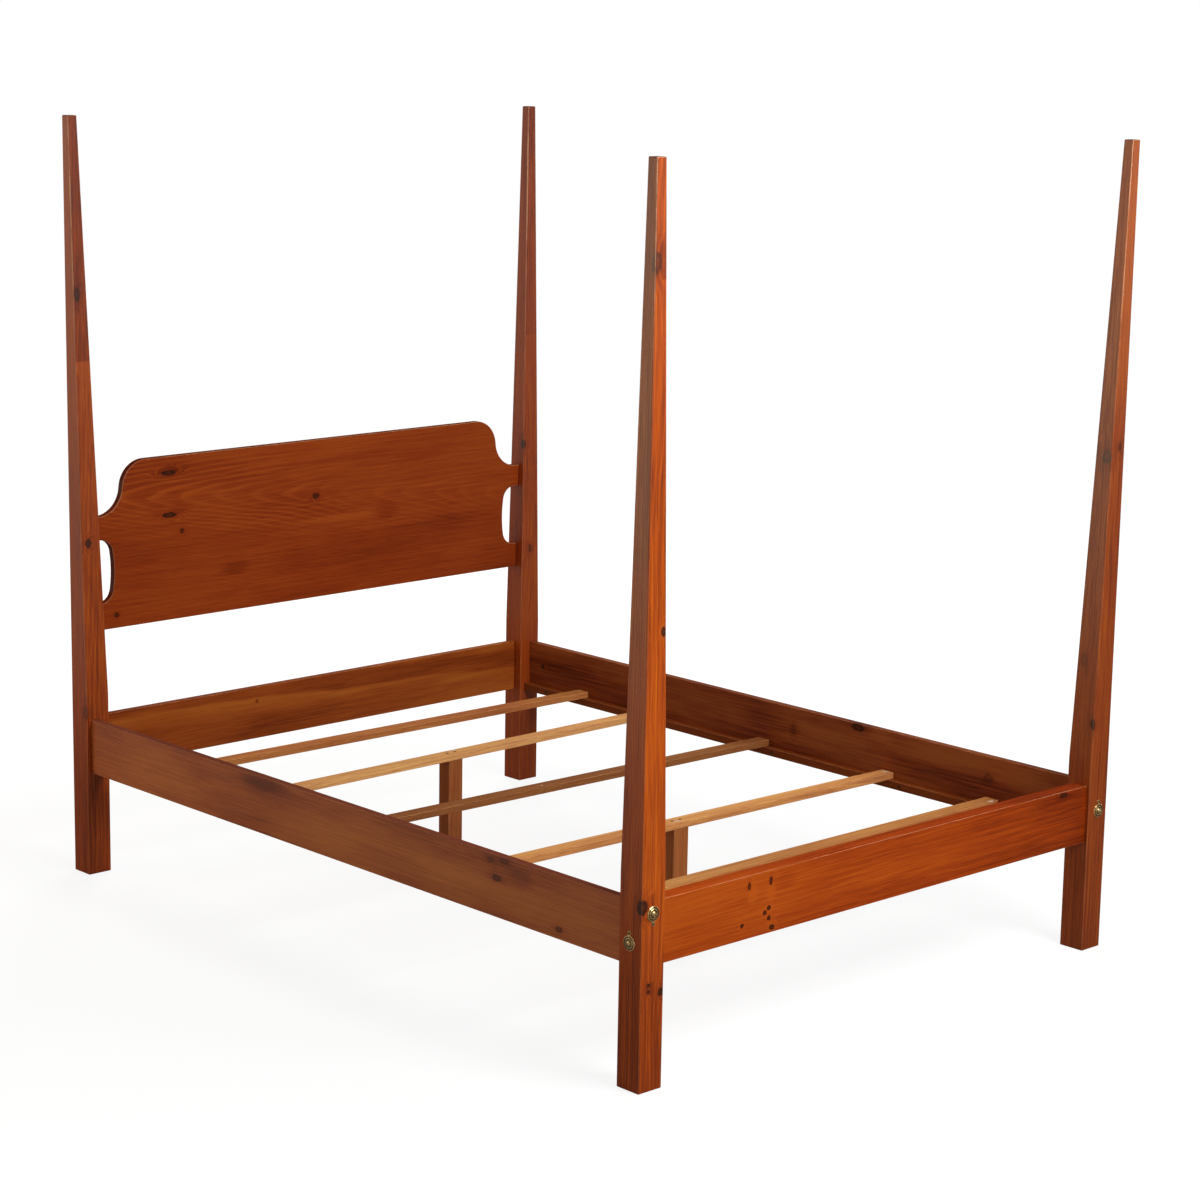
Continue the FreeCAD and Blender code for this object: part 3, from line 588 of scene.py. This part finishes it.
# Studio: a white floor out to the horizon, a soft lamp high before the foot end, weaker ones overhead
# and behind, a wide soft screen and a small high lamp at the left, and a narrow lamp beside the camera.
floor_size = 900.0
shade_radius = 4.0
shade_depth = 0.17
bpy.ops.mesh.primitive_plane_add(size=floor_size, location=(0.0, 0.0, 0.0))
floor = bpy.context.object
floor.name = "studio_floor"
floor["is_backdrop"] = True
white = (1.0, 1.0, 1.0, 1.0)
floor_white = bpy.data.materials.new("studio_white")
floor_white.use_nodes = True
tree = floor_white.node_tree
tree.nodes.clear()
path = put(tree, "LightPath")
place = put(tree, "TexCoord")["Object"]
away = put(tree, "VectorMath", {0: place}, operation="LENGTH")["Value"]
spread = maths(tree, "MULTIPLY", away, 1.0 / shade_radius ** 2)
under_bed = maths(tree, "POWER", maths(tree, "MULTIPLY_ADD", away, spread, 1.0), -2.0)
brightness = maths(tree, "MULTIPLY_ADD", under_bed, -shade_depth, 1.0)
glow = put(tree, "Emission", {"Color": white, "Strength": brightness})[0]
faint = put(tree, "BsdfDiffuse", {"Color": (0.2, 0.2, 0.2, 1.0)})[0]
shown = put(tree, "AddShader", {0: faint, 1: glow})[0]
# Painted shade and light for reflections only: shiny surfaces see the floor dark near the bed, white far
# off, and painted lighter to the left.
brightness = ease(tree, away, 4.0, 30.0, 0.09, 0.95)
painted_left_light = ease(tree, put(tree, "SeparateXYZ", {0: place})["X"], -2.2, -1.1, 0.38, 0.0)
brightness = maths(tree, "MAXIMUM", brightness, painted_left_light)
mirrored = put(tree, "Emission", {"Color": white, "Strength": brightness})[0]
plain = put(tree, "BsdfDiffuse", {"Color": (0.38, 0.38, 0.38, 1.0)})[0]
reflected = maths(tree, "MAXIMUM", path["Is Glossy Ray"], path["Is Transmission Ray"])
surface = put(tree, "MixShader", {0: reflected, 1: plain, 2: mirrored})[0]
surface = put(tree, "MixShader", {0: path["Is Camera Ray"], 1: surface, 2: shown})[0]
from_below = maths(tree, "MULTIPLY", path["Is Camera Ray"], put(tree, "NewGeometry")["Backfacing"])
clear = put(tree, "BsdfTransparent")[0]
surface = put(tree, "MixShader", {0: from_below, 1: surface, 2: clear})[0]
put(tree, "OutputMaterial", {"Surface": surface})
floor.data.materials.append(floor_white)

room_light = 0.07
world = bpy.data.worlds.new("studio_room")
bpy.context.scene.world = world
world.use_nodes = True
tree = world.node_tree
tree.nodes.clear()
path = put(tree, "LightPath")
height = put(tree, "SeparateXYZ", {0: put(tree, "TexCoord")["Generated"]})["Z"]
wall = maths(tree, "MAXIMUM", path["Is Glossy Ray"], path["Is Transmission Ray"])
wall = maths(tree, "MULTIPLY", wall, ease(tree, height, 0.05, 0.14, 1.0, 0.0))
wall = maths(tree, "MAXIMUM", wall, path["Is Camera Ray"])
strength = maths(tree, "MAXIMUM", wall, room_light)
background = put(tree, "Background", {"Color": white, "Strength": strength})[0]
put(tree, "OutputWorld", {"Surface": background})


def soft_lamp(name, place, target, width, height, power, colour=(1.0, 1.0, 1.0), mirrored=True):
    """A soft lamp that faces a point, and that shiny things mirror or not."""
    lamp = bpy.data.lights.new(name, "AREA")
    lamp.shape = "RECTANGLE"
    lamp.size = width
    lamp.size_y = height
    lamp.energy = power
    lamp.color = colour
    made = bpy.data.objects.new(name, lamp)
    bpy.context.scene.collection.objects.link(made)
    made.location = place
    made.rotation_euler = (Vector(target) - Vector(place)).to_track_quat("-Z", "Y").to_euler()
    made.visible_camera = False
    made.visible_glossy = mirrored


soft_lamp("foot_lamp", (0.1, -3.6, 2.9), (0.0, 0.0, 0.7), 1.8, 1.8, 114.0)
soft_lamp("top_lamp", (0.0, -0.3, 4.6), (0.0, 0.0, 0.0), 3.4, 3.4, 44.0)
soft_lamp("back_lamp", (3.0, 3.6, 2.5), (0.0, 0.0, 0.7), 2.4, 2.4, 110.0, mirrored=False)
soft_lamp("left_screen", (-3.6, 2.6, 1.15), (0.0, 2.6, 1.15), 3.0, 2.2, 37.0, (1.0, 0.85, 0.5))
soft_lamp("left_lamp", (-3.4, 3.85, 3.9), (-0.73, -0.96, 0.3), 0.9, 0.9, 10.0, (1.0, 0.9, 0.7))
soft_lamp("camera_lamp", (-4.0, -4.6, 1.05), (0.0, 0.0, 1.05), 0.3, 1.4, 15.0)


# Camera: a little above head height beyond the foot-left corner, turned towards the middle of the
# bed and tilted down, with the lens and the framing of the photo.
camera_place = (-4.5967, -4.9598, 2.1199)
camera_turn_right = math.radians(42.3836)
camera_tilt_down = math.radians(11.2018)
camera_roll = math.radians(0.8148)
frame_pixels = 1200.0
focal_pixels = 2969.83
middle_pixels = (552.36, 582.93)
camera = bpy.data.cameras.new("photo_camera")
camera.sensor_width = 36.0
camera.lens = camera.sensor_width * focal_pixels / frame_pixels
camera.shift_x = (frame_pixels / 2 - middle_pixels[0]) / frame_pixels
camera.shift_y = (middle_pixels[1] - frame_pixels / 2) / frame_pixels
camera.clip_end = 2000.0
viewer = bpy.data.objects.new("photo_camera", camera)
bpy.context.scene.collection.objects.link(viewer)
turn = Euler((math.pi / 2 - camera_tilt_down, 0.0, -camera_turn_right)).to_matrix()
turn = turn @ Matrix.Rotation(camera_roll, 3, "Z")
viewer.matrix_world = Matrix.Translation(camera_place) @ turn.to_4x4()
bpy.context.scene.camera = viewer
bpy.context.scene.view_settings.view_transform = "Standard"

low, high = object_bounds()
